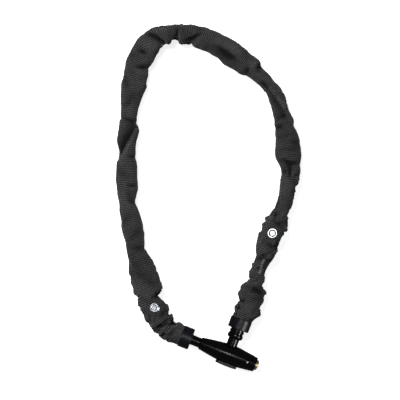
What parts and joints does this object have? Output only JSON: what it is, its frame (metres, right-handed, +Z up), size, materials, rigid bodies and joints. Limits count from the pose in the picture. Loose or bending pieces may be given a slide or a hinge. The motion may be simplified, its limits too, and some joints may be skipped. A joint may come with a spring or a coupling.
{
  "type": "chain lock",
  "caption": "Bicycle chain lock: a steel link chain in a gathered woven sleeve, closed into a loop by a T-shaped cylinder lock with a push-in locking pin.",
  "frame": {"origin": "middle of the loop's footprint, on the surface it lies on", "axes": "+Z up out of the flat loop, +Y along the loop's length away from the lock barrel, +X towards the key end"},
  "size_m": [0.2134, 0.4021, 0.0278],
  "materials": {
    "sleeve_fabric": "coarse ribbed polyester weave, charcoal",
    "chain_steel": "hardened steel wire",
    "gloss_black": "gloss black moulded cover",
    "satin_black": "satin black moulded plastic",
    "brass": "turned brass",
    "snap_metal": "nickel plated",
    "spring_steel": "spring wire",
    "machined_steel": "machined and hardened"
  },
  "bodies": {
    "barrel": {"barrel_cover": "gloss_black", "bore_cover": "satin_black", "barrel_core": "machined_steel", "cylinder_housing": "brass", "cylinder_roll_pin": "machined_steel", "anchor_shank": "gloss_black", "shank_roll_pin": "machined_steel", "left_collar": "satin_black", "left_link_pin": "machined_steel"},
    "plug": {"key_plug": "brass", "tumblers": "brass", "tumbler_springs": "spring_steel", "plug_cam": "machined_steel", "plug_clip": "machined_steel"},
    "bolt": {"locking_bolt": "machined_steel"},
    "pin": {"locking_pin": "machined_steel", "neck_sleeve": "gloss_black", "right_collar": "satin_black", "right_link_pin": "machined_steel"},
    "link_01": {"link_01": "chain_steel", "link_02": "chain_steel", "sleeve_01": "sleeve_fabric"},
    "link_03": {"link_03": "chain_steel", "link_04": "chain_steel", "sleeve_02": "sleeve_fabric", "snap_stud": "snap_metal", "snap_stud_rivet": "snap_metal"},
    "link_05": {"link_05": "chain_steel", "link_06": "chain_steel", "sleeve_03": "sleeve_fabric"},
    "link_07": {"link_07": "chain_steel", "link_08": "chain_steel", "sleeve_04": "sleeve_fabric"},
    "link_09": {"link_09": "chain_steel", "link_10": "chain_steel", "sleeve_05": "sleeve_fabric"},
    "link_11": {"link_11": "chain_steel", "link_12": "chain_steel", "sleeve_06": "sleeve_fabric"},
    "link_23": {"link_23": "chain_steel", "link_22": "chain_steel", "sleeve_12": "sleeve_fabric", "snap_socket": "snap_metal", "snap_socket_rivet": "snap_metal"},
    "link_21": {"link_21": "chain_steel", "link_20": "chain_steel", "sleeve_11": "sleeve_fabric"},
    "link_19": {"link_19": "chain_steel", "link_18": "chain_steel", "sleeve_10": "sleeve_fabric"},
    "link_17": {"link_17": "chain_steel", "link_16": "chain_steel", "sleeve_09": "sleeve_fabric"},
    "link_15": {"link_15": "chain_steel", "link_14": "chain_steel", "sleeve_08": "sleeve_fabric"},
    "link_13": {"link_13": "chain_steel", "sleeve_07": "sleeve_fabric"}
  },
  "joints": [
    {"name": "pin_slide", "type": "slide", "parent": "barrel", "child": "pin", "axis": [0.3665, 0.9304, 0], "range_m": [0, 0.04]},
    {"name": "key_turn", "type": "hinge", "parent": "barrel", "child": "plug", "pos_m": [0.0225, -0.18, 0.0125], "axis": [0.9304, -0.3665, 0], "range_deg": [0, 90]},
    {"name": "bolt_slide", "type": "slide", "parent": "barrel", "child": "bolt", "axis": [-0.9304, 0.3665, 0], "range_m": [0, 0.002]},
    {"name": "chain_hinge_01", "type": "hinge", "parent": "pin", "child": "link_01", "pos_m": [0.03753, -0.14185, 0.0125], "axis": [0, 0, 1], "range_deg": [-3.41, 0]},
    {"name": "chain_hinge_03", "type": "hinge", "parent": "link_01", "child": "link_03", "pos_m": [0.0602, -0.07565, 0.0125], "axis": [0, 0, 1], "range_deg": [-9.92, 0]},
    {"name": "chain_hinge_05", "type": "hinge", "parent": "link_03", "child": "link_05", "pos_m": [0.08546, -0.01038, 0.0125], "axis": [0, 0, 1], "range_deg": [0, 9.77]},
    {"name": "chain_hinge_07", "type": "hinge", "parent": "link_05", "child": "link_07", "pos_m": [0.09117, 0.05866, 0.0125], "axis": [0, 0, 1], "range_deg": [0, 9.92]},
    {"name": "chain_hinge_09", "type": "hinge", "parent": "link_07", "child": "link_09", "pos_m": [0.07143, 0.12538, 0.0125], "axis": [0, 0, 1], "range_deg": [0, 1.01]},
    {"name": "chain_hinge_11", "type": "hinge", "parent": "link_09", "child": "link_11", "pos_m": [0.01815, 0.17023, 0.0125], "axis": [0, 0, 1], "range_deg": [0, 1.01]},
    {"name": "chain_hinge_24", "type": "hinge", "parent": "barrel", "child": "link_23", "pos_m": [-0.02939, -0.15956, 0.0125], "axis": [0, 0, 1], "range_deg": [-3.22, 0]},
    {"name": "chain_hinge_22", "type": "hinge", "parent": "link_23", "child": "link_21", "pos_m": [-0.0706, -0.10529, 0.0125], "axis": [0, 0, 1], "range_deg": [-9.92, 0]},
    {"name": "chain_hinge_20", "type": "hinge", "parent": "link_21", "child": "link_19", "pos_m": [-0.08723, -0.03731, 0.0125], "axis": [0, 0, 1], "range_deg": [0, 5.29]},
    {"name": "chain_hinge_18", "type": "hinge", "parent": "link_19", "child": "link_17", "pos_m": [-0.095, 0.03217, 0.0125], "axis": [0, 0, 1], "range_deg": [0, 7.24]},
    {"name": "chain_hinge_16", "type": "hinge", "parent": "link_17", "child": "link_15", "pos_m": [-0.0901, 0.10198, 0.0125], "axis": [0, 0, 1], "range_deg": [0, 4.26]},
    {"name": "chain_hinge_14", "type": "hinge", "parent": "link_15", "child": "link_13", "pos_m": [-0.07226, 0.16911, 0.0125], "axis": [0, 0, 1], "range_deg": [0, 2.67]}
  ],
  "couplings": [
    {"joint": "bolt_slide", "follows": "key_turn", "m_per_rad": 0.001272},
    {"joint": "chain_hinge_01", "follows": "pin_slide", "rad_per_m": -1.4835},
    {"joint": "chain_hinge_03", "follows": "pin_slide", "rad_per_m": -4.3197},
    {"joint": "chain_hinge_05", "follows": "pin_slide", "rad_per_m": 4.2565},
    {"joint": "chain_hinge_07", "follows": "pin_slide", "rad_per_m": 4.3197},
    {"joint": "chain_hinge_09", "follows": "pin_slide", "rad_per_m": 0.4363},
    {"joint": "chain_hinge_11", "follows": "pin_slide", "rad_per_m": 0.4363},
    {"joint": "chain_hinge_24", "follows": "pin_slide", "rad_per_m": -1.3963},
    {"joint": "chain_hinge_22", "follows": "pin_slide", "rad_per_m": -4.3197},
    {"joint": "chain_hinge_20", "follows": "pin_slide", "rad_per_m": 2.2999},
    {"joint": "chain_hinge_18", "follows": "pin_slide", "rad_per_m": 3.1536},
    {"joint": "chain_hinge_16", "follows": "pin_slide", "rad_per_m": 1.8508},
    {"joint": "chain_hinge_14", "follows": "pin_slide", "rad_per_m": 1.1595}
  ]
}
